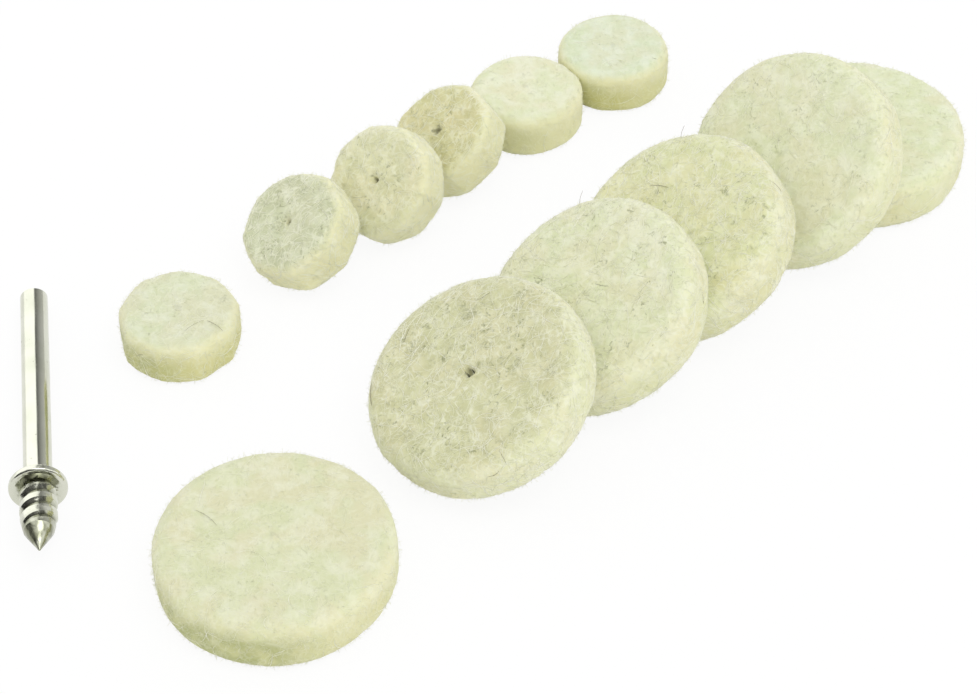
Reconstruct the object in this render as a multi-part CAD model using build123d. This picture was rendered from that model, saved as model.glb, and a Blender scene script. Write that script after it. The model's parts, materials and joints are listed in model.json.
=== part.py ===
from build123d import *
import os
from math import atan2, cos, degrees, radians, sin

# A set of felt polishing wheels in two sizes, with the one-piece screw mandrel that holds one of
# them in a rotary tool. Millimetres, +Z up. The set lies on the plane Z = 0: one wheel of each size
# lies flat in front, and the others lean on each other in two rows that run to the right and back.
# The origin is the centre of the set's box, on the plane that it lies on.

# Felt wheels
LARGE_DIAMETER = 25.0
LARGE_THICKNESS = 7.0
SMALL_DIAMETER = 13.3
SMALL_THICKNESS = 6.0
PILOT_DIAMETER = 1.2  # the hole through the middle, for the screw to start in
FELT_EDGE_RADIUS = 0.6
LEAN_CLEARANCE = 0.25  # between a wheel and the one that it leans on or lies against

# Mandrel, from the free end of its shank to the point of its screw
SHANK_DIAMETER = 3.175
SHANK_LENGTH = 31.4  # as far as the back of the collar
SHANK_CHAMFER = 0.35
COLLAR_DIAMETER = 6.4
COLLAR_THICKNESS = 0.9
COLLAR_EDGE_RADIUS = 0.3
COLLAR_RIM = 0.6  # width of the rim around the hollow in the collar's front face
DISH_DEPTH = 0.3
SCREW_LENGTH = 9.0  # from the front of the collar to the point
SHOULDER_LENGTH = 1.9  # where the thread tapers off, behind the point
SHOULDER_DROP = 0.4  # how far the thread comes in along it
POINT_LENGTH = 2.8
POINT_DIAMETER = 0.24
CORE_DIAMETER = 3.2
THREAD_DIAMETER = 4.1
THREAD_PITCH = 1.9
THREAD_START = 0.7  # plain neck between the collar and the first turn
THREAD_CREST = 0.5  # width between two passes of the groove cutter, at its outer edge
THREAD_ROOT = 0.35  # width of the flat between two turns, along the axis
CUTTER_OVERSHOOT = 0.15  # how far the groove cutter stands out of the thread

# Layout on the plane. Places along a row are in wheel diameters, so that a row of larger wheels
# spreads out by as much as they grow.
LARGE_ROW_START = (-10.9, -22.5)
LARGE_ROW_HEADING = 42.0  # degrees from +X
SMALL_ROW_START = (-26.4, 8.2)
SMALL_ROW_HEADING = 40.7
LARGE_FRONT_CENTRE = (-24.3, -37.8)
SMALL_FRONT_CENTRE = (-36.6, -2.3)
SHANK_END = (-54.1, 4.6)
MANDREL_HEADING = -83.2
# Each leaning wheel: its foot along the row and to the left of it, and which way its face looks
LARGE_LEANING = [(0.0, 0.0, 206), (0.72, -0.02, 207), (1.32, 0.04, 206), (2.09, -0.08, 220)]
LARGE_END = [(2.93, 0.0)]  # centres of the flat wheels that end the row
SMALL_LEANING = [(0.0, 0.0, 210), (1.01, -0.15, 228), (1.74, 0.08, 205)]
SMALL_END = [(3.07, 0.09), (4.08, 0.0)]
ANGLE_STEP = 0.01

BASE = (Align.CENTER, Align.CENTER, Align.MIN)


def plain_disc(diameter, thickness):
    """A disc with its back face on Z = 0 and its axis on Z."""
    return Cylinder(diameter / 2, thickness, align=BASE)


def felt_wheel(diameter, thickness):
    """A wheel in the place of a plain disc, with its pilot hole and soft edges."""
    disc = plain_disc(diameter, thickness)
    disc = fillet(disc.edges().filter_by(GeomType.CIRCLE), FELT_EDGE_RADIUS)
    return disc - Pos(0, 0, -thickness) * Cylinder(PILOT_DIAMETER / 2, 3 * thickness, align=BASE)


def lean(diameter, foot, azimuth, tilt):
    """The place of a disc whose back rim stands at foot, and whose face looks up towards azimuth."""
    x, y = foot
    return Pos(x, y, 0) * Rot(0, 0, azimuth) * Rot(0, tilt, 0) * Pos(-diameter / 2, 0, 0)


def resting_tilt(diameter, thickness, foot, azimuth, support):
    """The tilt at which a disc that falls back from upright comes to lie on its support."""
    disc = plain_disc(diameter, thickness)
    low, high = 0.0, 88.0
    while high - low > ANGLE_STEP:
        middle = (low + high) / 2
        if (lean(diameter, foot, azimuth, middle) * disc).distance_to(support) < LEAN_CLEARANCE:
            low = middle
        else:
            high = middle
    return high


def row_point(start, heading, along, left):
    """The point that lies so far along a row and to the left of it."""
    a = radians(heading)
    return start[0] + along * cos(a) - left * sin(a), start[1] + along * sin(a) + left * cos(a)


def wheel_row(name, diameter, thickness, start, heading, leaning, flat):
    """Each wheel's place by node name: the flat ones first, then back along the row to its start."""
    disc = plain_disc(diameter, thickness)
    places = {}
    number = len(leaning) + len(flat)
    for along, left in reversed(flat):
        x, y = row_point(start, heading, along * diameter, left * diameter)
        places[f"{name}_{number}"] = Pos(x, y, 0)
        number -= 1
    for along, left, azimuth in reversed(leaning):
        foot = row_point(start, heading, along * diameter, left * diameter)
        support = places[f"{name}_{number + 1}"] * disc
        tilt = resting_tilt(diameter, thickness, foot, azimuth, support)
        places[f"{name}_{number}"] = lean(diameter, foot, azimuth, tilt)
        print(f"{name}_{number} leans at {tilt:.1f} degrees")
        number -= 1
    return places


def groove_cutter(height):
    """The helical space between the turns, as a solid that stands out of the thread."""
    root = CORE_DIAMETER / 2
    rim = THREAD_DIAMETER / 2 + CUTTER_OVERSHOOT
    mouth = THREAD_PITCH - THREAD_CREST
    section = [
        (root, -THREAD_ROOT / 2),
        (rim, -mouth / 2),
        (rim, mouth / 2),
        (root, THREAD_ROOT / 2),
    ]
    curves = []
    for radius, z in section:
        curve = Pos(0, 0, z) * Helix(pitch=THREAD_PITCH, height=height, radius=radius)
        curves.append(curve.edges()[0])
    walls = []
    for curve, following in zip(curves, curves[1:] + curves[:1]):
        walls.append(Face.make_surface_from_curves(curve, following))
    for end in (0, 1):
        outline = Polyline(*[curve @ end for curve in curves], close=True)
        walls.append(make_face(outline.edges()).faces()[0])
    return Solid(Shell(walls))


def screw():
    """The pointed wood screw, from the collar's front face at Z = 0 along +Z."""
    threaded = SCREW_LENGTH - POINT_LENGTH - SHOULDER_LENGTH - THREAD_START
    blank = Cylinder(CORE_DIAMETER / 2, THREAD_START, align=BASE)
    blank += Pos(0, 0, THREAD_START) * Cylinder(THREAD_DIAMETER / 2, threaded, align=BASE)
    narrow = THREAD_DIAMETER / 2 - SHOULDER_DROP
    shoulder = Cone(THREAD_DIAMETER / 2, narrow, SHOULDER_LENGTH, align=BASE)
    blank += Pos(0, 0, THREAD_START + threaded) * shoulder
    point = Cone(narrow, POINT_DIAMETER / 2, POINT_LENGTH, align=BASE)
    blank += Pos(0, 0, SCREW_LENGTH - POINT_LENGTH) * point
    cut = threaded + SHOULDER_LENGTH  # the groove ends where the point begins
    return blank - Pos(0, 0, THREAD_START) * groove_cutter(cut)


def mandrel():
    """The mandrel, from the free end of its shank at Z = 0 along +Z."""
    shank = Cylinder(SHANK_DIAMETER / 2, SHANK_LENGTH, align=BASE)
    shank = chamfer(shank.edges().filter_by(GeomType.CIRCLE).sort_by(Axis.Z)[0], SHANK_CHAMFER)
    collar = Cylinder(COLLAR_DIAMETER / 2, COLLAR_THICKNESS, align=BASE)
    collar = fillet(collar.edges().filter_by(GeomType.CIRCLE), COLLAR_EDGE_RADIUS)
    dish = Cone(CORE_DIAMETER / 2, COLLAR_DIAMETER / 2 - COLLAR_RIM, DISH_DEPTH, align=BASE)
    collar -= Pos(0, 0, COLLAR_THICKNESS - DISH_DEPTH) * dish
    stub = Cylinder(CORE_DIAMETER / 2, COLLAR_THICKNESS, align=BASE)
    front = Pos(0, 0, SHANK_LENGTH + COLLAR_THICKNESS)
    return shank + Pos(0, 0, SHANK_LENGTH) * (collar + stub) + front * screw()


def mandrel_place():
    """The mandrel lies on the edge of its collar and on the end of its shank, so its point rises."""
    rise = (COLLAR_DIAMETER - SHANK_DIAMETER) / 2
    slope = degrees(atan2(rise, SHANK_LENGTH + COLLAR_THICKNESS / 2))
    x, y = SHANK_END
    return Pos(x, y, 0) * Rot(0, 0, MANDREL_HEADING) * Rot(0, 90 - slope, 0)


def set_down(shape):
    """The move that puts a shape's lowest point on the plane."""
    return Pos(0, 0, -shape.bounding_box(optimal=True).min.Z)


def build():
    """Every piece by node name, and the place of each one's own frame, in the set's frame."""
    large = wheel_row("large_wheel", LARGE_DIAMETER, LARGE_THICKNESS, LARGE_ROW_START,
                      LARGE_ROW_HEADING, LARGE_LEANING, LARGE_END)
    small = wheel_row("small_wheel", SMALL_DIAMETER, SMALL_THICKNESS, SMALL_ROW_START,
                      SMALL_ROW_HEADING, SMALL_LEANING, SMALL_END)
    large["large_wheel_front"] = Pos(*LARGE_FRONT_CENTRE, 0)
    small["small_wheel_front"] = Pos(*SMALL_FRONT_CENTRE, 0)
    shapes = {name: felt_wheel(LARGE_DIAMETER, LARGE_THICKNESS) for name in large}
    shapes |= {name: felt_wheel(SMALL_DIAMETER, SMALL_THICKNESS) for name in small}
    shapes["mandrel"] = mandrel()
    places = large | small | {"mandrel": mandrel_place()}
    for name, shape in shapes.items():
        places[name] = set_down(places[name] * shape) * places[name]
    box = Compound([places[name] * shape for name, shape in shapes.items()]).bounding_box(optimal=True)
    centre = Pos(-(box.min.X + box.max.X) / 2, -(box.min.Y + box.max.Y) / 2, 0)
    places = {name: centre * place for name, place in places.items()}
    return {name: places[name] * shape for name, shape in shapes.items()}, places


pieces, places = build()
os.makedirs("parts", exist_ok=True)
for name, piece in pieces.items():
    piece.label = name
    export_step(piece, f"parts/{name}.step")
print(f"{len(pieces)} pieces")
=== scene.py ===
"""The looks of a set of felt polishing wheels and their screw mandrel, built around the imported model.

Every length is in metres. Each felt wheel is modelled in its own frame: Z is the wheel's axis, from
its back to its face, and the origin is the middle of the wheel. Its place and its thickness come from
the wheel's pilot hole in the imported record.
"""
import json
import math

import bpy
import numpy as np
from mathutils import Matrix, Vector


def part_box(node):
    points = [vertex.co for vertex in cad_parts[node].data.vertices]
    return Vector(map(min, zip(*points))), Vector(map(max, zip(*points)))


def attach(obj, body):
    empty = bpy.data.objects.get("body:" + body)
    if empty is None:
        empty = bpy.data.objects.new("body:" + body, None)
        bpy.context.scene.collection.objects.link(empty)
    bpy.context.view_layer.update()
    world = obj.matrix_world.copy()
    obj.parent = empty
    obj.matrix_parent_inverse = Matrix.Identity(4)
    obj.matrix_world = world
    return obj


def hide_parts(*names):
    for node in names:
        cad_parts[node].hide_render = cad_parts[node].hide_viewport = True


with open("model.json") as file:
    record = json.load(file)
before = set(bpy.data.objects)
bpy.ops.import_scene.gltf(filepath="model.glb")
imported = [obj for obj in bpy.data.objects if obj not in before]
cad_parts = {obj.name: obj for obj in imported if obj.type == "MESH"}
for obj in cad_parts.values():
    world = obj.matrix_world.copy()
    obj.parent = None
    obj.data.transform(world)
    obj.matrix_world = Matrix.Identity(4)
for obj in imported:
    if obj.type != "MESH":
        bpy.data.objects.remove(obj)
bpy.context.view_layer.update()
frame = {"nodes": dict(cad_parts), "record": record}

MM = 0.001

# ---- the shape of the felt --------------------------------------------------------------------

GRID_STEP = 0.17 * MM  # between a wheel's surface points
GRID_POWER = 0.25  # draws the points of a face together at its middle, where the hole is
FEWEST_ROWS = 4
EDGE_RADIUS = {"large": 2.1 * MM, "small": 1.5 * MM}
LARGE_RADIUS = 12.5 * MM  # counts of fibres are given for a wheel of this size
WHEEL_GAP = 0.17 * MM  # kept between a wheel's felt and the CAD wheels around it
FLOOR_GAP = 0.06 * MM  # kept between the felt and the floor
CORNER_DEPTH = 0.55  # how deep the flats of a cut rim are, as a share of a true polygon's
LIES_FLAT = 0.999  # the upward part of the axis of a wheel that lies flat
LATTICE_START = 1000.0  # keeps the numbers of the noise's cells above zero
HASH_PRIMES = (374761393, 668265263, 2147483647)
HASH_MIXER = 1274126177
HASH_TOP = 0xFFFF
TINY = 1e-12  # keeps a division by a length from failing

# The outline: its waves, by how many go round it, and how strong the weakest and the strongest are
WAVES = range(2, 9)
WAVE_STRENGTHS = (0.3, 1)

# Unevenness of the surface: how wide its features are, and how high in millimetres
BROAD_SIZE, BROAD_HEIGHT = 6.0 * MM, 0.10
LUMP_SIZE, LUMP_HEIGHT = 2.1 * MM, 0.05
TUFT_SIZE, TUFT_HEIGHT = 0.8 * MM, 0.045
GRAIN_SIZE, GRAIN_HEIGHT = 0.36 * MM, 0.030
PIT_SIZE, PIT_DEPTH = 0.62 * MM, 0.26
PIT_FROM = 0.45  # the part of the noise above this makes pits
RIM_SIZE, RIM_HEIGHT = 3.0 * MM, 0.09
RIM_STRETCH = [1, 1, 0.3]  # makes the features of the rim long along the wheel's axis
SMOOTHEST = 0.40  # how strong the fine unevenness is on a wheel without any roughness

# The pinhole
HOLE_RADIUS = 0.42 * MM
HOLE_DEPTH = 2.2 * MM
RAGGED_SIZE = 0.5 * MM
RAGGED_SHARE = 0.45  # how far its edge wanders, as a share of its radius
FACE_FROM = 0.9  # the axial part of the way out of the disc, above which it is a face

# The kinds of fibre that lie in the surface: how many a smooth large wheel has, and how many more a
# rough one; in millimetres their length, their radius and how far they weave in and out; and how much
# they turn at each step, in radians
PALE_FIBRES = [
    dict(smooth=12, rough=340, length=5.0, radius=0.048, weave=0.020, wander=0.10),
    dict(smooth=40, rough=560, length=3.0, radius=0.036, weave=0.016, wander=0.18),
    dict(smooth=60, rough=500, length=1.5, radius=0.028, weave=0.014, wander=0.28),
]
DARK_FIBRES = dict(smooth=1, rough=6, length=2.0, radius=0.018, weave=0.030, wander=0.12)
FIBRE_STEP = 0.3 * MM
FIBRE_SIDES = 3
FIBRE_RADII = (0.7, 1.25)  # the thinnest and the thickest of a kind, as shares of its radius
TAPER = 1 / 8  # the part of a fibre's length over which it thins out at each end
TIP = 0.12  # how thick its ends are, as a share of its radius
TURN_KEPT = 0.85  # how much of a fibre's turn it keeps at the next step
TURN_NEW = 0.5  # how much new turn it gets there, as a share of its wander
WEAVE_RATES = (0.25, 0.7)  # the slowest and the fastest weave, in radians a step

FUZZ_COUNT = 5800
FUZZ_STEPS = 6
FUZZ_LENGTH = 0.7 * MM
FUZZ_RADIUS = 0.017 * MM
FUZZ_RADII = (0.7, 1.2)
FUZZ_LENGTHS = (0.35, 1.0)  # the shortest and the longest hair, as shares of the length
FUZZ_ROOT = 0.05 * MM  # how deep a hair starts under the surface
FUZZ_OUTWARD, FUZZ_ASTRAY = 0.6, 0.7  # how much a hair heads out of the surface, and any other way
FUZZ_CURL = 0.35

STRAY_STEPS = 9
STRAY_BOW = 0.07  # how far a stray hair curves, as a share of its length
STRAY_START, STRAY_RISE = 0.05, 0.15  # its height over the face, and how much it gains, in millimetres

# Each wheel: a seed for everything random about it; how greyish its face is, how rough with fibres
# it is and how open its hole is, from 0 to 1; how far its felt stands out of the CAD wheel's side;
# how far its outline leaves a circle, as a share of the radius; its corners, for the ones whose rim
# was cut in flats; the tint of its face, which multiplies the felt's colour; how much painted shade
# turns the low part of its side yellower, from 0 to 1; the heading in degrees of the darkest part of
# its side, where an olive patch of painted shade lies, and how dark that is, from 0 to 1; the dark
# smudges on its face, each as x, y and radius; and its stray dark hairs, each as x and y of its start,
# its length, its heading in degrees and its own radius. Places and lengths are in millimetres in the
# wheel's own frame.
WHEELS = {
    "large_wheel_front": dict(seed=11, grey=0.05, rough=0.25, hole=0.00, proud=0.38, uneven=0.016,
                              corners=0, tint=(0.92, 0.92, 0.91), low_shade=0.55, shaded_side=(239, 1.00),
                              smudges=[(-7.0, 2.2, 0.5)],
                              strays=[(-8.4, 3.7, 3.6, 315, 0.018)]),
    "large_wheel_1": dict(seed=12, grey=0.80, rough=1.00, hole=1.00, proud=0.20, uneven=0.012,
                          corners=0, tint=(0.91, 0.89, 0.80), low_shade=0.15, shaded_side=(0, 0.00),
                          smudges=[(6.8, 7.4, 1.1), (-6.4, 3.8, 1.5), (0.3, 1.2, 0.9), (3.2, 4.5, 1.3),
                                   (-3.2, 4.2, 1.0), (-7.4, -3.4, 1.5), (-4.1, 9.6, 1.3),
                                   (1.6, -9.4, 1.2), (-1.4, 3.2, 1.0)],
                          strays=[(-4.3, -10.9, 3.4, 152, 0.030)]),
    "large_wheel_2": dict(seed=13, grey=0.20, rough=0.85, hole=0.05, proud=0.15, uneven=0.014,
                          corners=0, tint=(0.99, 1.00, 1.00), low_shade=0.30, shaded_side=(0, 0.00),
                          smudges=[(2.0, -3.0, 0.8)],
                          strays=[(-10.4, 5.8, 1.7, 130, 0.024)]),
    "large_wheel_3": dict(seed=14, grey=0.35, rough=0.92, hole=0.05, proud=0.15, uneven=0.012,
                          corners=0, tint=(0.98, 0.98, 0.87), low_shade=0.40, shaded_side=(0, 0.00),
                          smudges=[(-5.0, 1.0, 0.9)],
                          strays=[(-9.4, 6.9, 1.7, 128, 0.024), (-6.6, 0.6, 2.8, 35, 0.028)]),
    "large_wheel_4": dict(seed=15, grey=0.25, rough=0.60, hole=0.00, proud=0.15, uneven=0.010,
                          corners=0, tint=(0.99, 1.00, 1.02), low_shade=0.25, shaded_side=(0, 0.00),
                          smudges=[],
                          strays=[]),
    "large_wheel_5": dict(seed=16, grey=0.05, rough=0.30, hole=0.00, proud=0.15, uneven=0.014,
                          corners=0, tint=(0.96, 0.98, 0.99), low_shade=0.35, shaded_side=(0, 0.00),
                          smudges=[],
                          strays=[]),
    "small_wheel_front": dict(seed=21, grey=0.20, rough=0.45, hole=0.00, proud=0.30, uneven=0.016,
                              corners=9, tint=(0.92, 0.94, 0.97), low_shade=0.90, shaded_side=(224, 0.80),
                              smudges=[],
                              strays=[(3.4, -2.2, 2.8, 315, 0.022), (0.9, -4.0, 3.0, 37, 0.012)]),
    "small_wheel_1": dict(seed=22, grey=1.00, rough=1.00, hole=0.35, proud=0.20, uneven=0.014,
                          corners=8, tint=(0.89, 0.91, 0.90), low_shade=0.25, shaded_side=(0, 0.00),
                          smudges=[(-0.7, -0.5, 1.4)],
                          strays=[]),
    "small_wheel_2": dict(seed=23, grey=0.70, rough=0.90, hole=0.45, proud=0.20, uneven=0.012,
                          corners=9, tint=(1.01, 0.98, 0.93), low_shade=0.20, shaded_side=(0, 0.00),
                          smudges=[(-0.2, 0.6, 0.9)],
                          strays=[]),
    "small_wheel_3": dict(seed=24, grey=0.80, rough=0.80, hole=0.75, proud=0.20, uneven=0.014,
                          corners=8, tint=(0.92, 0.87, 0.70), low_shade=0.25, shaded_side=(0, 0.00),
                          smudges=[],
                          strays=[]),
    "small_wheel_4": dict(seed=25, grey=0.00, rough=0.25, hole=0.00, proud=0.15, uneven=0.016,
                          corners=0, tint=(0.98, 0.99, 1.02), low_shade=0.35, shaded_side=(240, 0.30),
                          smudges=[],
                          strays=[]),
    "small_wheel_5": dict(seed=26, grey=0.05, rough=0.25, hole=0.00, proud=0.15, uneven=0.018,
                          corners=0, tint=(0.92, 0.97, 1.03), low_shade=0.90, shaded_side=(222, 0.42),
                          smudges=[],
                          strays=[]),
}


def mount_named(name):
    """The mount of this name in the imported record."""
    return next(m for m in frame["record"]["mounts"] if m["name"] == name)


def lattice_noise(points, scale, seed):
    """Smooth noise from -1 to 1 at each point, with features about scale across."""
    p = points / scale + LATTICE_START
    cell = np.floor(p).astype(np.int64)
    f = p - cell
    f = f * f * f * (f * (f * 6 - 15) + 10)
    total = np.zeros(len(p))
    for corner in range(8):
        offset = np.array([corner & 1, corner >> 1 & 1, corner >> 2 & 1])
        h = (cell + offset) @ np.array(HASH_PRIMES) + seed * HASH_MIXER
        h = (h ^ (h >> 13)) * HASH_MIXER
        h = (h ^ (h >> 16)) & HASH_TOP
        weight = np.where(offset, f, 1 - f).prod(axis=1)
        total += weight * (2 * h / HASH_TOP - 1)
    return total


class Wheel:
    """The shape of one felt wheel: a disc with rounded edges, uneven in outline and on its surface."""

    def __init__(self, name):
        self.name = name
        self.size = name.split("_")[0]
        self.traits = WHEELS[name]
        self.seed = self.traits["seed"]
        mount = mount_named(name + "_pilot_hole")
        self.centre = Vector(mount["pos_m"])
        self.axis = Vector(mount["axis"]).normalized()
        self.half = mount["dims"]["length_mm"] * MM / 2
        low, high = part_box(self.size + "_wheel_front")
        self.cad_radius = (high.x - low.x) / 2
        self.radius = self.cad_radius + self.traits["proud"] * MM
        self.area = (self.radius / LARGE_RADIUS) ** 2  # as a share of a large wheel's
        self.edge = EDGE_RADIUS[self.size]
        self.core_radius = self.radius - self.edge
        self.core_half = self.half - self.edge
        self.others = []

    def place(self):
        """The wheel's frame: Z along its axis, and X level, so that features keep their side."""
        z = self.axis
        level = Vector((-z.y, z.x, 0)) if abs(z.z) < LIES_FLAT else Vector((1, 0, 0))
        x = level.normalized()
        y = z.cross(x)
        return Matrix.Translation(self.centre) @ Matrix((x, y, z)).transposed().to_4x4()

    def project(self, points):
        """The nearest points on the plain rounded disc, and the way out of it there."""
        r = np.hypot(points[:, 0], points[:, 1])
        shrink = np.minimum(1, self.core_radius / np.maximum(r, TINY))
        core = np.column_stack([
            points[:, 0] * shrink,
            points[:, 1] * shrink,
            np.clip(points[:, 2], -self.core_half, self.core_half),
        ])
        out = points - core
        out /= np.maximum(np.linalg.norm(out, axis=1, keepdims=True), TINY)
        return core + out * self.edge, out

    def outline(self, angle):
        """How far the outline leaves a circle at each angle, as a share of the radius."""
        rng = np.random.default_rng(self.seed)
        waves = np.zeros_like(angle)
        for k in WAVES:
            waves += rng.uniform(*WAVE_STRENGTHS) / k * np.sin(k * angle + rng.uniform(0, 2 * math.pi))
        draw = self.traits["uneven"] * waves
        corners = self.traits["corners"]
        if corners:
            turn = rng.uniform(0, 2 * math.pi)
            sector = 2 * math.pi / corners
            within = (angle + turn) % sector - sector / 2
            draw += CORNER_DEPTH * (math.cos(sector / 2) / np.cos(within) - 1)
        return draw

    def bend(self, points, out, lift=0.0):
        """Points of the plain disc, moved to where the real, uneven surface is."""
        angle = np.arctan2(points[:, 1], points[:, 0])
        r = np.hypot(points[:, 0], points[:, 1])
        p = points + out * self.relief(points, out, r)[:, None] + out * np.asarray(lift).reshape(-1, 1)
        share = np.clip(r / self.radius, 0, 1) ** 2
        draw = 1 + self.outline(angle) * share
        p[:, 0] *= draw
        p[:, 1] *= draw
        return self.keep_clear(p)

    def keep_clear(self, points):
        """Points moved, where they need it, off the floor and clear of the wheels around this one."""
        turn = np.array(self.place().to_3x3())
        centre = np.array(self.centre)
        world = points @ turn.T + centre
        for other in self.others:
            axis = np.array(other.axis)
            offset = world - np.array(other.centre)
            along = offset @ axis
            across = offset - np.outer(along, axis)
            r = np.maximum(np.linalg.norm(across, axis=1), TINY)
            beside, above = r - other.cad_radius, np.abs(along) - other.half
            inside = (beside <= 0) & (above <= 0)
            outside = np.hypot(np.maximum(beside, 0), np.maximum(above, 0))
            distance = np.where(inside, np.maximum(beside, above), outside)
            out_r = np.where(inside, beside > above, np.maximum(beside, 0))
            out_z = np.where(inside, beside <= above, np.maximum(above, 0))
            push = np.maximum(WHEEL_GAP - distance, 0) / np.maximum(np.hypot(out_r, out_z), TINY)
            world += across * (push * out_r / r)[:, None]
            world += np.outer(np.sign(along) * push * out_z, axis)
        world[:, 2] = np.maximum(world[:, 2], FLOOR_GAP)
        return (world - centre) @ turn

    def relief(self, points, out, r):
        """How far the surface stands out of the plain disc."""
        seed = self.seed * 10
        broad = BROAD_HEIGHT * lattice_noise(points, BROAD_SIZE, seed)
        lumps = LUMP_HEIGHT * lattice_noise(points, LUMP_SIZE, seed + 1)
        tufts = TUFT_HEIGHT * lattice_noise(points, TUFT_SIZE, seed + 2)
        grain = GRAIN_HEIGHT * lattice_noise(points, GRAIN_SIZE, seed + 3)
        pits = PIT_DEPTH * np.clip(lattice_noise(points, PIT_SIZE, seed + 4) - PIT_FROM, 0, 1)
        rough = SMOOTHEST + (1 - SMOOTHEST) * self.traits["rough"]
        height = broad + lumps + rough * (tufts + grain - pits)
        rim = 1 - np.abs(out[:, 2])
        height += rim * RIM_HEIGHT * lattice_noise(points * RIM_STRETCH, RIM_SIZE, seed + 5)
        ragged = 1 + RAGGED_SHARE * lattice_noise(points, RAGGED_SIZE, seed + 6)
        face = np.abs(out[:, 2]) > FACE_FROM
        hole = np.exp(-((r * ragged / HOLE_RADIUS) ** 2)) * face * self.traits["hole"]
        return height * MM - HOLE_DEPTH * hole


def square_to_disc(count):
    """A square grid of points pulled out into a disc of radius 1, the loop of its edge and its faces."""
    line = np.linspace(-1, 1, count + 1)
    x, y = np.meshgrid(line, line, indexing="ij")
    px = x * np.sqrt(1 - y * y / 2)
    py = y * np.sqrt(1 - x * x / 2)
    index = np.arange((count + 1) ** 2).reshape(count + 1, count + 1)
    loop = np.concatenate([index[:-1, 0], index[-1, :-1], index[:0:-1, -1], index[0, :0:-1]])
    quads = np.stack([index[:-1, :-1], index[1:, :-1], index[1:, 1:], index[:-1, 1:]], -1)
    return np.column_stack([px.ravel(), py.ravel()]), loop, quads.reshape(-1, 4)


def disc_surface(wheel):
    """The plain rounded disc as an even grid: its points, ways out and faces."""
    flat, loop, quads = square_to_disc(int(2 * math.pi * wheel.radius / GRID_STEP / 4))
    r = np.hypot(flat[:, 0], flat[:, 1])
    flat *= (r ** GRID_POWER)[:, None]
    face = np.column_stack([flat * wheel.core_radius, np.zeros(len(flat))])
    top = face + [0, 0, wheel.half]
    bottom = face - [0, 0, wheel.half]

    # The rings from the top to the bottom: each one's height in the core, and how far it is tilted
    quarter = math.pi / 2
    turns = max(FEWEST_ROWS, int(quarter * wheel.edge / GRID_STEP))
    lows = max(FEWEST_ROWS, int(2 * wheel.core_half / GRID_STEP))
    rows = [(wheel.core_half, t * quarter / turns) for t in range(1, turns + 1)]
    rows += [(wheel.core_half * (1 - 2 * t / lows), quarter) for t in range(1, lows + 1)]
    rows += [(-wheel.core_half, quarter + t * quarter / turns) for t in range(1, turns)]

    rim_angle = np.arctan2(face[loop, 1], face[loop, 0])
    points, out = [top], [np.tile([0.0, 0.0, 1.0], (len(top), 1))]
    for z, tilt in rows:
        away = np.column_stack([
            np.cos(rim_angle) * math.sin(tilt),
            np.sin(rim_angle) * math.sin(tilt),
            np.full(len(loop), math.cos(tilt)),
        ])
        core = np.column_stack([
            np.cos(rim_angle) * wheel.core_radius,
            np.sin(rim_angle) * wheel.core_radius,
            np.full(len(loop), z),
        ])
        points.append(core + away * wheel.edge)
        out.append(away)
    points.append(bottom)
    out.append(np.tile([0.0, 0.0, -1.0], (len(bottom), 1)))

    around = len(loop)
    start = len(top)
    last = start + len(rows) * around
    rings = [loop] + [start + i * around + np.arange(around) for i in range(len(rows))] + [last + loop]
    faces = [quads, quads[:, ::-1] + last]
    for a, b in zip(rings, rings[1:]):
        faces.append(np.column_stack([a, b, np.roll(b, -1), np.roll(a, -1)]))
    return np.concatenate(points), np.concatenate(out), np.concatenate(faces)


def mesh_object(name, points, faces, wheel, material):
    """A smooth mesh object, from points in the wheel's frame and faces of any number of corners."""
    mesh = bpy.data.meshes.new(name)
    mesh.from_pydata(points.tolist(), [], faces)
    mesh.validate()
    mesh.polygons.foreach_set("use_smooth", np.ones(len(mesh.polygons), bool))
    mesh.materials.append(material)
    piece = bpy.data.objects.new(name, mesh)
    bpy.context.scene.collection.objects.link(piece)
    piece.matrix_world = wheel.place()
    return piece


# ---- fibres and hairs -------------------------------------------------------------------------


def scattered(wheel, rng, count):
    """Points spread evenly over the whole plain disc."""
    face = math.pi * wheel.radius ** 2
    side = 2 * math.pi * wheel.radius * 2 * wheel.half
    on_side = rng.random(count) < side / (side + 2 * face)
    angle = rng.uniform(0, 2 * math.pi, count)
    r = np.where(on_side, wheel.radius, wheel.radius * np.sqrt(rng.random(count)))
    sign = np.where(rng.random(count) < 0.5, 1.0, -1.0)
    z = np.where(on_side, rng.uniform(-1, 1, count) * wheel.half, sign * wheel.half)
    return np.column_stack([r * np.cos(angle), r * np.sin(angle), z])


def walk(wheel, rng, starts, length, wander, weave):
    """Fibres that run over the wheel's surface: their points, fibre by fibre, and the ways out there."""
    count = len(starts)
    steps = int(round(length / FIBRE_STEP)) + 1
    p, out = wheel.project(starts)
    d = rng.normal(size=(count, 3))
    d -= (d * out).sum(1, keepdims=True) * out
    d /= np.linalg.norm(d, axis=1, keepdims=True)
    turn = rng.normal(0, wander, count)
    phase = rng.uniform(0, 2 * math.pi, count)
    rate = rng.uniform(*WEAVE_RATES, count)
    base, outs, lifts = [], [], []
    for k in range(steps):
        base.append(p)
        outs.append(out)
        lifts.append(weave * np.sin(phase + rate * k))
        turn = TURN_KEPT * turn + rng.normal(0, wander * TURN_NEW, count)
        side = np.cross(out, d)
        d = d * np.cos(turn)[:, None] + side * np.sin(turn)[:, None]
        p, out = wheel.project(p + d * FIBRE_STEP)
        d -= (d * out).sum(1, keepdims=True) * out
        d /= np.maximum(np.linalg.norm(d, axis=1, keepdims=True), TINY)
    base, outs, lifts = np.stack(base, 1), np.stack(outs, 1), np.stack(lifts, 1)
    line = wheel.bend(base.reshape(-1, 3), outs.reshape(-1, 3), lifts.ravel())
    return line.reshape(count, steps, 3), outs


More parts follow.
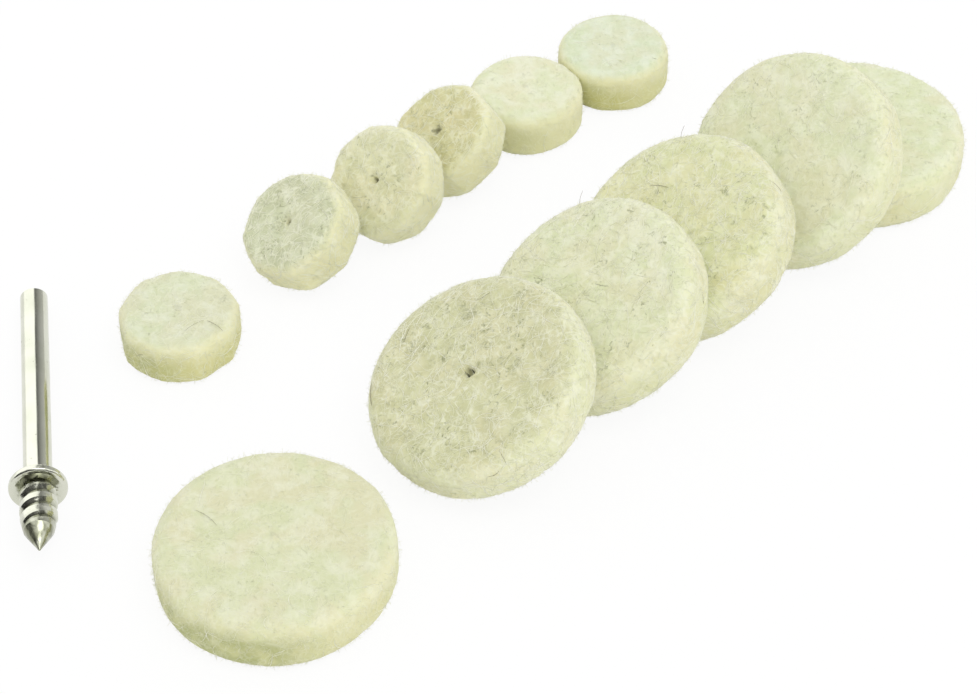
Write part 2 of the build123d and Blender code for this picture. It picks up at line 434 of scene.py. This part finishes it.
def laid_fibres(wheel, rng, kind):
    """The fibres of one kind that lie in the wheel's surface: their lines, radii and ways up."""
    hairy = wheel.traits["rough"] ** 2
    count = int(max(1, wheel.area * (kind["smooth"] + kind["rough"] * hairy)))
    starts = scattered(wheel, rng, count)
    lines, ups = walk(wheel, rng, starts, kind["length"] * MM, kind["wander"], kind["weave"] * MM)
    return lines, rng.uniform(*FIBRE_RADII, count) * (kind["radius"] * MM), ups


def stray_hairs(wheel):
    """The dark hairs that lie on this wheel, or stand off its edge, at known places."""
    t = np.linspace(0, 1, STRAY_STEPS)
    lines = []
    for x, y, length, heading, _ in wheel.traits["strays"]:
        a = math.radians(heading)
        reach = length * t
        bow = STRAY_BOW * length * np.sin(math.pi * t)
        px = (x + reach * math.cos(a) - bow * math.sin(a)) * MM
        py = (y + reach * math.sin(a) + bow * math.cos(a)) * MM
        over = np.clip(np.hypot(px, py) - wheel.core_radius, 0, wheel.edge)
        surface = wheel.core_half + np.sqrt(wheel.edge ** 2 - over ** 2)
        z = np.maximum(surface, surface[0]) + (STRAY_START + STRAY_RISE * t) * MM
        lines.append(np.column_stack([px, py, z]))
    ups = np.tile([0.0, 0.0, 1.0], (len(lines), STRAY_STEPS, 1))
    radii = np.array([stray[-1] for stray in wheel.traits["strays"]]) * MM
    lines = wheel.keep_clear(np.concatenate(lines)).reshape(-1, STRAY_STEPS, 3)
    return lines, radii, ups


def loose_ends(wheel, rng):
    """The fuzz: short hairs that stand off the surface and curl. Their lines, radii and ways up."""
    count = int(wheel.area * FUZZ_COUNT)
    starts, out = wheel.project(scattered(wheel, rng, count))
    line = [wheel.bend(starts, out, -FUZZ_ROOT)]
    d = out * FUZZ_OUTWARD + rng.normal(0, FUZZ_ASTRAY, (count, 3))
    d /= np.linalg.norm(d, axis=1, keepdims=True)
    curl = rng.normal(0, FUZZ_CURL, (count, 3))
    reach = rng.uniform(*FUZZ_LENGTHS, count)[:, None] * FUZZ_LENGTH / (FUZZ_STEPS - 1)
    for _ in range(FUZZ_STEPS - 1):
        d = d + curl
        inward = np.minimum((d * out).sum(1, keepdims=True), 0)
        d -= inward * out
        d /= np.linalg.norm(d, axis=1, keepdims=True)
        line.append(line[-1] + d * reach)
    lines = wheel.keep_clear(np.stack(line, 1).reshape(-1, 3)).reshape(count, FUZZ_STEPS, 3)
    ups = np.repeat(np.roll(out, 1, axis=1)[:, None, :], FUZZ_STEPS, axis=1)
    return lines, rng.uniform(*FUZZ_RADII, count) * FUZZ_RADIUS, ups


def tubes(lines, radii, ups):
    """Closed thin tubes along lines of points (fibre, step, xyz): their points, sides and ends."""
    count, steps, _ = lines.shape
    along = np.gradient(lines, axis=1)
    along /= np.maximum(np.linalg.norm(along, axis=2, keepdims=True), TINY)
    side = np.cross(along, ups)
    side /= np.maximum(np.linalg.norm(side, axis=2, keepdims=True), TINY)
    up = np.cross(side, along)
    t = np.linspace(0, 1, steps)
    taper = np.clip(np.minimum(t, 1 - t) / TAPER, TIP, 1)
    reach = radii[:, None] * taper[None, :]
    rings = []
    for k in range(FIBRE_SIDES):
        a = 2 * math.pi * k / FIBRE_SIDES + math.pi / 2
        rings.append(lines + (side * math.cos(a) + up * math.sin(a)) * reach[:, :, None])
    points = np.stack(rings, 2).reshape(-1, 3)
    index = np.arange(count * steps * FIBRE_SIDES).reshape(count, steps, FIBRE_SIDES)
    quads = []
    for k in range(FIBRE_SIDES):
        m = (k + 1) % FIBRE_SIDES
        quad = [index[:, :-1, k], index[:, :-1, m], index[:, 1:, m], index[:, 1:, k]]
        quads.append(np.stack(quad, -1).reshape(-1, 4))
    ends = np.concatenate([index[:, 0, ::-1], index[:, -1, :]])
    return points, np.concatenate(quads), ends


def fibre_object(name, groups, wheel, material):
    """One mesh of several groups of tubes."""
    points, quads, ends = [], [], []
    start = 0
    for lines, radii, ups in groups:
        p, q, e = tubes(lines, radii, ups)
        points.append(p)
        quads.append(q + start)
        ends.append(e + start)
        start += len(p)
    faces = [face for part in quads + ends for face in part.tolist()]
    return mesh_object(name, np.concatenate(points), faces, wheel, material)


# ---- materials --------------------------------------------------------------------------------


def srgb(r, g, b):
    """A colour written as 0 to 255 values on a screen."""
    return tuple(((c / 255 + 0.055) / 1.055) ** 2.4 for c in (r, g, b)) + (1.0,)


# The felt's colours
PALE = srgb(242, 243, 220)
GREEN = srgb(225, 229, 190)
BEIGE = srgb(229, 227, 191)
GREYED = srgb(209, 211, 176)
# Painted fill light: a lighter cream for the sides, against the shade between the wheels
PAINTED_FILL_CREAM = srgb(243, 240, 200)
# Painted shade: the yellower, darker colour of a side's low part
LOW_SHADE_YELLOW = srgb(206, 203, 134)
# Painted shade: the olive of a side's shaded part
SIDE_SHADE_OLIVE = srgb(176, 180, 122)
GAP = srgb(138, 142, 102)
BROWNED = srgb(176, 172, 118)
# Painted shade: the dark inside the pinhole
PINHOLE_SHADE = srgb(52, 54, 36)
SIDE_PAINTED_FILL = {"large": 0.2, "small": 0.7}  # how much painted fill light, in cream, a side has against the shade between the wheels

# Each kind of wool: its two colours
WOOL = {
    "wool_pale": (srgb(248, 248, 230), srgb(238, 239, 208)),
    "wool_fuzz": (srgb(240, 241, 222), srgb(232, 234, 206)),
    "wool_dark": (srgb(96, 84, 62), srgb(132, 124, 96)),
}

# Scales of the noise in the felt and the wool, in features a metre
MOTTLE = 170.0
LOW_SHADE_NOISE = 190.0
CLUSTER = 340.0
BEND = 420.0
SPOT = 520.0
BREAK = 520.0
WOOL_PATCH = 700.0
DARK_GAP = 1250.0
WOBBLE = 1500.0
FINE = 5200.0

# The strands in the felt's colour lie in layers over each other. For the first layer, and what each
# further one changes: their length and how far apart they lie, in millimetres, and their angle
STRAND_LAYERS = 6
STRAND_LENGTH, SHORTER = 5.5, 0.4
STRAND_SPACING, WIDER = 0.8, 0.08
STRAND_ANGLE, STRAND_TURN = 0.5, 0.55
SEED_STEP = 7.3
STRAND_BEND = 2.2 * MM  # how far they leave a straight line

# How much a smooth wheel has of each, and how much more a rough one
STRANDS_SMOOTH, STRANDS_ROUGH = 0.12, 0.50
GAPS_SMOOTH, GAPS_ROUGH = 0.05, 0.72
BUMP_SMOOTH, BUMP_ROUGH = 0.25, 0.30

# The mandrel's colours and the scales of its noise
NICKEL = srgb(218, 219, 205)
NICKEL_DULL = srgb(208, 210, 193)
# Painted shade: the dark of the screw's grooves
GROOVE_SHADE = srgb(112, 114, 88)
SPECK_COLOUR = srgb(120, 118, 98)
CLOUD = 260.0
DENT = 760.0
SPECK = 1700.0
GRAIN = 3200.0
DRAWN = (5200, 45, 5200)  # long marks along the bar
MANDREL_TURN = math.radians(-6.8)  # from the Y axis to the mandrel's own
SCREW_FROM = -1.2 * MM  # where the rough part of the mandrel starts, from the screw's mount
SCREW_FADE = 0.3 * MM
GROOVE_SHADE_RADII = (1.60 * MM, 1.95 * MM)  # the core's, where the painted shade in the grooves is thick, and where it ends


class Nodes:
    """The node tree of a material or a world, with a short way to add and link nodes."""

    def __init__(self, owner):
        self.owner = owner
        owner.use_nodes = True
        self.tree = owner.node_tree
        self.tree.nodes.clear()

    def add(self, kind, inputs=None, **settings):
        """A new node with its settings, and its inputs linked or set."""
        node = self.tree.nodes.new(kind)
        for key, value in settings.items():
            setattr(node, key, value)
        for key, value in (inputs or {}).items():
            if isinstance(value, bpy.types.NodeSocket):
                self.tree.links.new(value, node.inputs[key])
            else:
                node.inputs[key].default_value = value
        return node

    def math(self, operation, a, b=0.0, clamp=False):
        return self.add("ShaderNodeMath", {0: a, 1: b}, operation=operation, use_clamp=clamp).outputs[0]

    def product(self, *factors):
        result = factors[0]
        for factor in factors[1:]:
            result = self.math("MULTIPLY", result, factor)
        return result

    def highest(self, *values):
        result = values[0]
        for value in values[1:]:
            result = self.math("MAXIMUM", result, value)
        return result

    def vector(self, operation, inputs, output="Vector"):
        return self.add("ShaderNodeVectorMath", inputs, operation=operation).outputs[output]

    def ramp(self, value, low, high, to_low=0.0, to_high=1.0):
        """The value's way from low to high, as a number from to_low to to_high."""
        inputs = {"Value": value, 1: low, 2: high, 3: to_low, 4: to_high}
        return self.add("ShaderNodeMapRange", inputs, clamp=True).outputs[0]

    def mix(self, factor, a, b, blend="MIX"):
        """Colour b over colour a. The colour sockets of a mix node are its inputs 6 and 7."""
        inputs = {0: factor, 6: a, 7: b}
        return self.add("ShaderNodeMix", inputs, data_type="RGBA", blend_type=blend).outputs[2]

    def noise(self, vector, scale, detail=2.0, rough=0.5, distortion=0.0, output="Fac"):
        inputs = {
            "Vector": vector,
            "Scale": scale,
            "Detail": detail,
            "Roughness": rough,
            "Distortion": distortion,
        }
        return self.add("ShaderNodeTexNoise", inputs).outputs[output]

    def moved(self, vector, location=(0, 0, 0), rotation=(0, 0, 0), scale=(1, 1, 1)):
        inputs = {"Vector": vector, "Location": location, "Rotation": rotation, "Scale": scale}
        return self.add("ShaderNodeMapping", inputs).outputs[0]

    def surface(self, inputs):
        """The material itself, with one principled shader on its surface."""
        shader = self.add("ShaderNodeBsdfPrincipled", inputs)
        self.add("ShaderNodeOutputMaterial", {"Surface": shader.outputs[0]})
        return self.owner


def strands(n, place, angle, spacing, length, seed):
    """Thin lines, long in one direction: felt fibres that lie that way, from 0 to 1."""
    bent = n.noise(n.moved(place, location=(seed, seed * 2, 0)), BEND, detail=0.0, output="Color")
    shift = n.vector("SUBTRACT", {0: bent, 1: (0.5, 0.5, 0.5)})
    shift = n.vector("SCALE", {0: shift, "Scale": STRAND_BEND})
    bent = n.vector("ADD", {0: place, 1: shift})
    turned = n.moved(bent, rotation=(angle * 0.7, angle * 0.4, angle))
    scale = (1 / length, 1 / spacing, 1 / spacing)
    value = n.noise(n.moved(turned, location=(seed, -seed, seed), scale=scale), 1.0, detail=0.0)
    line = n.ramp(n.math("ABSOLUTE", n.math("SUBTRACT", value, 0.5)), 0.006, 0.040, 1.0, 0.0)
    broken = n.noise(n.moved(place, location=(0, seed, seed)), BREAK, detail=1.0)
    return n.product(line, n.ramp(broken, 0.46, 0.60))


def strand_layers(n, place, seed):
    """All the strands, the later layers with shorter ones that lie further apart."""
    layers = []
    for k in range(STRAND_LAYERS):
        angle = STRAND_ANGLE + k * STRAND_TURN
        spacing = (STRAND_SPACING + WIDER * k) * MM
        length = (STRAND_LENGTH - SHORTER * k) * MM
        layers.append(strands(n, place, angle, spacing, length, seed + SEED_STEP * k))
    return n.highest(*layers)


def distance_from(n, local, x, y):
    """How far a point of the wheel lies from a line along its axis."""
    dx = n.math("SUBTRACT", local["X"], x)
    dy = n.math("SUBTRACT", local["Y"], y)
    return n.math("SQRT", n.math("ADD", n.product(dx, dx), n.product(dy, dy)))


def felt_ground(n, wheel, place, spots, face, side):
    """Mottled wool: greyed and tinted on the face, and lightened towards cream on the side by a painted
    fill light.
    """
    colour = n.mix(n.ramp(n.noise(place, MOTTLE, detail=3.0, rough=0.6), 0.43, 0.57), GREEN, BEIGE)
    colour = n.mix(n.ramp(spots, 0.45, 0.65, 0.0, 0.5), colour, PALE)
    dulled = n.mix(n.ramp(spots, 0.38, 0.58, 1.0, 0.35), colour, GREYED)
    colour = n.mix(n.product(face, wheel.traits["grey"]), colour, dulled)
    colour = n.mix(face, colour, wheel.traits["tint"] + (1.0,), "MULTIPLY")
    # Painted fill light: the side lightened towards cream, more on the small wheels, against the shade
    # between wheels
    return n.mix(n.product(side, SIDE_PAINTED_FILL[wheel.size]), colour, PAINTED_FILL_CREAM)


def felt_painted_shade(n, wheel, colour, place, local, spots, side):
    """The colour with painted shade on the side: its low part yellower in patches, and an olive patch
    where the side is shaded.
    """
    low_shade = wheel.traits["low_shade"]
    # Painted shade: the low part of the side turned yellower and darker, in patches
    low_shade_patches = n.ramp(n.noise(place, LOW_SHADE_NOISE), 0.36, 0.62, 0.65 * low_shade, low_shade)
    low = n.ramp(local["Z"], -wheel.half * 0.1, wheel.half * 0.9, 1.0, 0.0)
    colour = n.mix(n.product(side, low_shade_patches, low), colour, LOW_SHADE_YELLOW)
    # Painted shade: an olive patch low on the side, at the heading of its shaded part
    heading, side_shade = wheel.traits["shaded_side"]
    x = n.product(local["X"], math.cos(math.radians(heading)) / wheel.radius)
    y = n.product(local["Y"], math.sin(math.radians(heading)) / wheel.radius)
    shade_patch = n.ramp(n.math("ADD", x, y), 0.50, 0.92, 0.0, side_shade)
    shade_patch = n.product(shade_patch, n.ramp(spots, 0.35, 0.60, 0.45, 1.0))
    below = n.ramp(local["Z"], wheel.half * 0.2, wheel.half, 1.0, 0.0)
    return n.mix(n.product(side, shade_patch, below), colour, SIDE_SHADE_OLIVE)


def felt_gaps(n, wheel, place, local, face):
    """Where the wool has dark gaps, from 0 to 1: in clusters on a rough face, and in its smudges."""
    dark = n.noise(n.moved(place, location=(5, 5, 1)), DARK_GAP, detail=3.0, rough=0.65, distortion=1.4)
    cluster = n.noise(n.moved(place, location=(1, 6, 4)), CLUSTER, detail=1.0)
    gaps = n.product(n.ramp(dark, 0.56, 0.69), n.ramp(cluster, 0.44, 0.60, 0.12, 1.0))
    blot = n.ramp(dark, 0.44, 0.60, 0.0, 0.85)
    for x, y, radius in wheel.traits["smudges"]:
        distance = distance_from(n, local, x * MM, y * MM)
        near = n.ramp(distance, 0.2 * radius * MM, radius * MM, 1.0, 0.0)
        gaps = n.highest(gaps, n.product(near, blot))
    shown = n.math("ADD", n.product(face, GAPS_ROUGH * wheel.traits["rough"]), GAPS_SMOOTH)
    return n.math("MULTIPLY", gaps, shown, clamp=True)


def felt_pinhole(n, wheel, colour, place, local):
    """The colour with painted shade in the pinhole's middle, and the browned wool around it, as far as
    the hole is open.
    """
    hole = wheel.traits["hole"]
    wobble = n.product(n.math("SUBTRACT", n.noise(place, WOBBLE, detail=1.0), 0.5), 1.6 * MM)
    r = n.math("ADD", distance_from(n, local, 0.0, 0.0), wobble)
    around = n.product(n.ramp(r, 0.3 * MM, 1.5 * MM, 1.0, 0.0), 0.45 * hole)
    # Painted shade: the middle of the pinhole painted dark, the more the hole is open; a faint dark dot
    # even where it is closed
    shaded_middle = n.product(n.ramp(r, 0.15 * MM, 0.55 * MM, 1.0, 0.0), 0.12 + 0.86 * hole)
    return n.mix(shaded_middle, n.mix(around, colour, BROWNED), PINHOLE_SHADE)


def felt(name, wheel):
    """Pressed wool: pale strands over a mottled ground, dark gaps in clusters, painted shade that makes
    the low sides yellower, and a painted fill light on the sides.
    """
    n = Nodes(bpy.data.materials.new(name))
    seed, rough = wheel.seed, wheel.traits["rough"]
    coordinates = n.add("ShaderNodeTexCoord").outputs
    place = n.moved(coordinates["Object"], location=(seed * 0.37, seed * 0.71, seed * 0.13))
    local = n.add("ShaderNodeSeparateXYZ", {"Vector": coordinates["Object"]}).outputs
    normal = n.add("ShaderNodeSeparateXYZ", {"Vector": coordinates["Normal"]}).outputs["Z"]
    face = n.ramp(n.math("ABSOLUTE", normal), 0.45, 0.95)
    side = n.math("SUBTRACT", 1.0, face)
    spots = n.noise(n.moved(place, location=(3, 1, 2)), SPOT)

    colour = felt_ground(n, wheel, place, spots, face, side)
    colour = felt_painted_shade(n, wheel, colour, place, local, spots, side)
    lines = strand_layers(n, place, seed)
    gaps = felt_gaps(n, wheel, place, local, face)
    colour = n.mix(n.product(lines, STRANDS_SMOOTH + STRANDS_ROUGH * rough), colour, PALE)
    colour = n.mix(gaps, colour, GAP)
    colour = felt_pinhole(n, wheel, colour, place, local)

    fine = n.noise(place, FINE)
    height = n.math("SUBTRACT", n.product(lines, 0.8), n.product(gaps, 1.2))
    height = n.math("ADD", height, n.product(fine, 0.7))
    strength = BUMP_SMOOTH + BUMP_ROUGH * rough
    bump = {"Height": height, "Strength": strength, "Distance": 0.05 * MM}
    return n.surface({
        "Base Color": colour,
        "Roughness": n.ramp(fine, 0.3, 0.7, 0.86, 1.0),
        "Normal": n.add("ShaderNodeBump", bump).outputs[0],
        "Specular IOR Level": 0.15,
        "Subsurface Weight": 0.35,
        "Subsurface Radius": (1.0, 1.0, 0.8),
        "Subsurface Scale": 0.7 * MM,
        "Sheen Weight": 0.15,
        "Sheen Roughness": 0.6,
    })


def wool(name):
    """A single wool fibre's finish, a little uneven along it."""
    n = Nodes(bpy.data.materials.new(name))
    place = n.add("ShaderNodeTexCoord").outputs["Object"]
    patches = n.ramp(n.noise(place, WOOL_PATCH, detail=1.0), 0.35, 0.65)
    return n.surface({
        "Base Color": n.mix(patches, *WOOL[name]),
        "Roughness": 0.75,
        "Specular IOR Level": 0.25,
        "Sheen Weight": 0.2,
    })


def plated_steel():
    """Nickel plating, slightly warm: drawn marks along the bar, and a rough screw with painted shade in
    its grooves.
    """
    n = Nodes(bpy.data.materials.new("plated_steel"))
    place = n.add("ShaderNodeTexCoord").outputs["Object"]
    mount = mount_named("screw")
    axis = Vector(mount["axis"]).normalized()
    offset = n.vector("SUBTRACT", {0: place, 1: Vector(mount["pos_m"])})
    along = n.vector("DOT_PRODUCT", {0: offset, 1: axis}, "Value")
    radius = n.vector("LENGTH", {0: n.vector("CROSS_PRODUCT", {0: offset, 1: axis})}, "Value")
    screw = n.ramp(along, SCREW_FROM, SCREW_FROM + SCREW_FADE)
    cloud = n.noise(place, CLOUD, detail=3.0)
    grain = n.noise(place, GRAIN)
    dents = n.noise(place, DENT, detail=1.0, distortion=0.4)
    turned = n.moved(place, rotation=(0, 0, MANDREL_TURN))
    drawn = n.noise(n.moved(turned, scale=DRAWN), 1.0)
    specks = n.ramp(n.noise(place, SPECK, detail=1.0), 0.71, 0.77)

    colour = n.mix(n.ramp(cloud, 0.35, 0.65), NICKEL, NICKEL_DULL)
    # Painted shade: the screw's grooves, near its core, darkened in the colour, unevenly with the dents
    painted_groove_shade = n.product(n.ramp(radius, *GROOVE_SHADE_RADII, 0.80, 0.0), screw, n.ramp(dents, 0.35, 0.60, 0.4, 1.0))
    colour = n.mix(painted_groove_shade, colour, GROOVE_SHADE)
    colour = n.mix(n.product(specks, 0.3), colour, SPECK_COLOUR)

    rough = n.math("ADD", n.ramp(cloud, 0.3, 0.7, 0.08, 0.14), n.product(specks, 0.2))
    rough = n.math("ADD", rough, n.ramp(drawn, 0.35, 0.65, 0.0, 0.10))
    rough = n.math("ADD", rough, n.product(screw, 0.07))

    height = n.math("ADD", n.product(cloud, 0.15), n.product(grain, 0.10))
    height = n.math("ADD", height, n.product(drawn, 0.45))
    bump = {"Height": height, "Strength": 0.25, "Distance": 0.03 * MM}
    marked = n.add("ShaderNodeBump", bump).outputs[0]
    bump = {"Height": n.product(dents, screw), "Strength": 0.55, "Distance": 0.30 * MM, "Normal": marked}
    dented = n.add("ShaderNodeBump", bump).outputs[0]
    return n.surface({"Base Color": colour, "Metallic": 1.0, "Roughness": rough, "Normal": dented})


# ---- stage ------------------------------------------------------------------------------------

CAMERA_PLACE = (-1.70 * MM, -236.97 * MM, 231.1 * MM)
CAMERA_PITCH = math.radians(44.71)  # below the horizon
CAMERA_ROLL = math.radians(-1.12)
CAMERA_LENS = 105.83  # in millimetres, on this sensor
SENSOR_WIDTH = 36.0
CLIP_START, CLIP_END = 0.01, 20.0
SKY_LIGHT = 0.82
ROOM_IN_METAL = 1.5  # how bright metal shows the lit sides of the room
KEY_LIGHT = 0.8
KEY_WIDTH = math.radians(38)
KEY_FROM = (0.27, -0.33, 0.90)
FLOOR_COLOUR = (0.94, 0.94, 0.93, 1)  # as the object sees it
FLOOR_SHADE = 0.09  # how much of the white that the camera sees comes from the light on the floor
FLOOR_BRIGHTNESS = 1.02  # how bright the light alone would show a white floor
FLOOR_HALF = 3.0
FLOOR_DROP = 0.1 * MM  # from the set down to the floor


def make_camera():
    """The camera at the photograph's place and angle."""
    ahead = Vector((0, math.cos(CAMERA_PITCH), -math.sin(CAMERA_PITCH)))
    upright = Vector((0, math.sin(CAMERA_PITCH), math.cos(CAMERA_PITCH)))
    level = Vector((1, 0, 0))
    right = math.cos(CAMERA_ROLL) * level + math.sin(CAMERA_ROLL) * upright
    up = -math.sin(CAMERA_ROLL) * level + math.cos(CAMERA_ROLL) * upright
    data = bpy.data.cameras.new("camera")
    data.lens = CAMERA_LENS
    data.sensor_width = SENSOR_WIDTH
    data.clip_start = CLIP_START
    data.clip_end = CLIP_END
    camera = bpy.data.objects.new("camera", data)
    bpy.context.scene.collection.objects.link(camera)
    turn = Matrix((right, up, -ahead)).transposed().to_4x4()
    camera.matrix_world = Matrix.Translation(CAMERA_PLACE) @ turn
    bpy.context.scene.camera = camera


def seen_directly(n):
    """1 for rays from the camera, and for those that metal or glass sends on."""
    path = n.add("ShaderNodeLightPath").outputs
    return n.highest(path["Is Camera Ray"], path["Is Glossy Ray"], path["Is Transmission Ray"])


def make_floor():
    """A pale floor that is white to the camera and keeps a faint shadow."""
    n = Nodes(bpy.data.materials.new("floor"))
    lit = n.add("ShaderNodeBsdfDiffuse", {"Color": FLOOR_COLOUR})
    faint = n.add("ShaderNodeBsdfDiffuse", {"Color": (FLOOR_SHADE, FLOOR_SHADE, FLOOR_SHADE, 1)})
    strength = 1 - FLOOR_BRIGHTNESS * FLOOR_SHADE
    glow = n.add("ShaderNodeEmission", {"Color": (1, 1, 1, 1), "Strength": strength})
    white = n.add("ShaderNodeAddShader", {0: faint.outputs[0], 1: glow.outputs[0]})
    inputs = {0: seen_directly(n), 1: lit.outputs[0], 2: white.outputs[0]}
    shader = n.add("ShaderNodeMixShader", inputs)
    n.add("ShaderNodeOutputMaterial", {"Surface": shader.outputs[0]})
    mesh = bpy.data.meshes.new("floor")
    corners = [(x * FLOOR_HALF, y * FLOOR_HALF, 0) for x, y in ((-1, -1), (1, -1), (1, 1), (-1, 1))]
    mesh.from_pydata(corners, [], [(0, 1, 2, 3)])
    mesh.materials.append(n.owner)
    floor = bpy.data.objects.new("floor", mesh)
    bpy.context.scene.collection.objects.link(floor)
    floor.location.z = -FLOOR_DROP


def make_world():
    """A white room: white to the camera, a soft even light, and dark parts for metal to show."""
    world = bpy.data.worlds.new("studio")
    bpy.context.scene.world = world
    n = Nodes(world)
    way = n.add("ShaderNodeTexCoord").outputs["Generated"]
    way = n.add("ShaderNodeSeparateXYZ", {"Vector": way}).outputs
    across, ahead = way["X"], way["Y"]
    # Ahead and to the right the room is dark, and grows lighter further to the right
    edge = n.ramp(across, -0.05, 0.03, 1.0, 0.0)
    fade = n.ramp(across, 0.0, 0.74, 0.06, 0.50)
    right = n.highest(edge, fade, n.ramp(ahead, 0.15, 0.35, 1.0, 0.0))
    # Far to the left it is dim, except ahead
    left = n.highest(n.ramp(across, -0.75, -0.45, 0.15, 1.0), n.ramp(ahead, -0.05, 0.15, 0.0, 1.0))
    # Behind the camera it is dark
    behind = n.ramp(ahead, -0.50, -0.10, 0.06, 1.0)
    room = n.product(right, left, n.product(behind, ROOM_IN_METAL))
    metal = n.mix(n.add("ShaderNodeLightPath").outputs["Is Glossy Ray"], (1, 1, 1, 1), room)
    strength = n.ramp(seen_directly(n), 0.0, 1.0, SKY_LIGHT, 1.0)
    sky = n.add("ShaderNodeBackground", {"Color": metal, "Strength": strength})
    n.add("ShaderNodeOutputWorld", {"Surface": sky.outputs[0]})


def make_lights():
    """A broad soft light from the right and above, as from a window."""
    light = bpy.data.lights.new("key", "SUN")
    light.energy = KEY_LIGHT
    light.angle = KEY_WIDTH
    key = bpy.data.objects.new("key", light)
    bpy.context.scene.collection.objects.link(key)
    key.rotation_mode = "QUATERNION"
    key.rotation_quaternion = Vector(KEY_FROM).normalized().to_track_quat("Z", "Y")


# ---- the set ----------------------------------------------------------------------------------


def find_neighbours(wheels):
    """Tell each wheel which others are close enough to touch."""
    for wheel in wheels:
        for other in wheels:
            reach = wheel.radius + wheel.half + other.radius + other.half
            if other is not wheel and (wheel.centre - other.centre).length < reach:
                wheel.others.append(other)


def make_wheel(wheel, wools):
    """One wheel's felt, its pale fibres, its fuzz and its dark hairs."""
    name = wheel.name
    points, out, faces = disc_surface(wheel)
    points = wheel.bend(points, out)
    body = mesh_object(name + "_felt", points, faces.tolist(), wheel, felt(name + "_felt", wheel))
    rng = np.random.default_rng(wheel.seed * 100)
    groups = [laid_fibres(wheel, rng, kind) for kind in PALE_FIBRES]
    pale = fibre_object(name + "_fibres", groups, wheel, wools["wool_pale"])
    fuzz = fibre_object(name + "_fuzz", [loose_ends(wheel, rng)], wheel, wools["wool_fuzz"])
    groups = [laid_fibres(wheel, rng, DARK_FIBRES)]
    if wheel.traits["strays"]:
        groups.append(stray_hairs(wheel))
    dark = fibre_object(name + "_hairs", groups, wheel, wools["wool_dark"])
    for piece in (body, pale, fuzz, dark):
        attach(piece, name)
    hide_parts(name)


def finish_mandrel():
    """The CAD mandrel as it is, in plated steel."""
    mandrel = frame["nodes"]["mandrel"]
    mandrel.data.materials.clear()
    mandrel.data.materials.append(plated_steel())


def main():
    bpy.context.scene.view_settings.view_transform = "Standard"
    make_camera()
    make_world()
    make_lights()
    make_floor()
    wools = {name: wool(name) for name in WOOL}
    wheels = [Wheel(name) for name in WHEELS]
    find_neighbours(wheels)
    for wheel in wheels:
        make_wheel(wheel, wools)
    finish_mandrel()


main()
